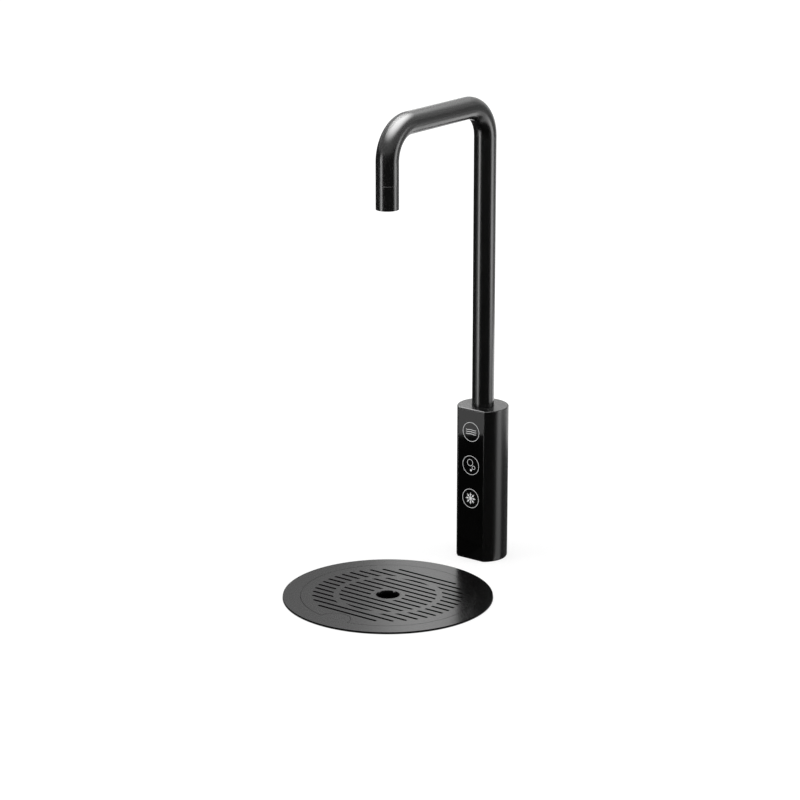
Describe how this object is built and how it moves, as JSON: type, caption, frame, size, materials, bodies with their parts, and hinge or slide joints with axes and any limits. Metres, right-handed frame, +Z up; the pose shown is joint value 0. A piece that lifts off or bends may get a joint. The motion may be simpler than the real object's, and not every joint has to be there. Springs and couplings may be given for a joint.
{
  "type": "sparkling water tap",
  "caption": "Worktop water tap: a D section column with a front touch panel, a swivelling bent spout and a round slotted drip tray let into the worktop.",
  "frame": {"origin": "on the column's axis, in the plane of the worktop's top that the base plate rests on", "axes": "+Z up along the column; the touch panel and the spout face -Y; +X is the column's left side seen from the front, so the tray's centre is at 152 mm on -Y"},
  "size_m": [0.199, 0.2765, 0.5343],
  "materials": {
    "black_coat": "satin",
    "tray_coat": "matte",
    "plinth_coat": "matte",
    "panel_glass": "mirror gloss",
    "rubber": "matte",
    "foam": "matte",
    "steel": "machined",
    "cast_housing": "machined",
    "brass": "machined",
    "spreader_plastic": "translucent white",
    "board_laminate": "solder mask",
    "white_plastic": "satin",
    "bearing_plastic": "satin",
    "black_plastic": "satin",
    "grey_plastic": "satin",
    "lead_sheath": "satin",
    "still_tube": "satin",
    "sparkling_tube": "satin"
  },
  "bodies": {
    "fixed": {"body_shell": "black_coat", "base_plate": "plinth_coat", "base_seal": "rubber", "shell_screws": "steel", "touch_panel": "panel_glass", "panel_bond": "foam", "light_spreaders": "spreader_plastic", "touch_board": "board_laminate", "board_screws": "steel", "board_connector": "white_plastic", "sensor_lead": "lead_sheath", "spout_housing": "cast_housing", "housing_screws": "steel", "lower_bush": "bearing_plastic", "upper_bush": "bearing_plastic", "bush_spacer": "steel", "friction_ring": "rubber", "thrust_washer": "bearing_plastic", "stop_screw": "steel", "shank": "brass", "worktop_gasket": "rubber", "clamp_washer": "steel", "lock_nut": "brass", "inlet_block": "black_plastic", "inlet_collets": "grey_plastic", "inlet_seals": "rubber", "signal_socket": "white_plastic", "still_line": "still_tube", "sparkling_line": "sparkling_tube", "tray_rim": "tray_coat", "tray_tub": "tray_coat", "tray_seal": "rubber", "drain_strainer": "steel", "grille_pads": "rubber"},
    "spout": {"spout_tube": "black_coat", "still_line_spout": "still_tube", "sparkling_line_spout": "sparkling_tube", "outlet_insert": "black_plastic", "nozzle_seal": "rubber"},
    "nozzle": {"nozzle_sleeve": "black_coat", "flow_straightener": "white_plastic"},
    "grille": {"tray_grille": "tray_coat"}
  },
  "joints": [
    {"name": "spout_swivel", "type": "hinge", "parent": "fixed", "child": "spout", "pos_m": [0, 0, 0.12], "axis": [0, 0, 1], "range_deg": [-60, 60]},
    {"name": "nozzle_off", "type": "slide", "parent": "spout", "child": "nozzle", "axis": [0, 0, -1], "range_m": [0, 0.03]},
    {"name": "grille_lift", "type": "slide", "parent": "fixed", "child": "grille", "axis": [0, 0, 1], "range_m": [0, 0.06]}
  ]
}
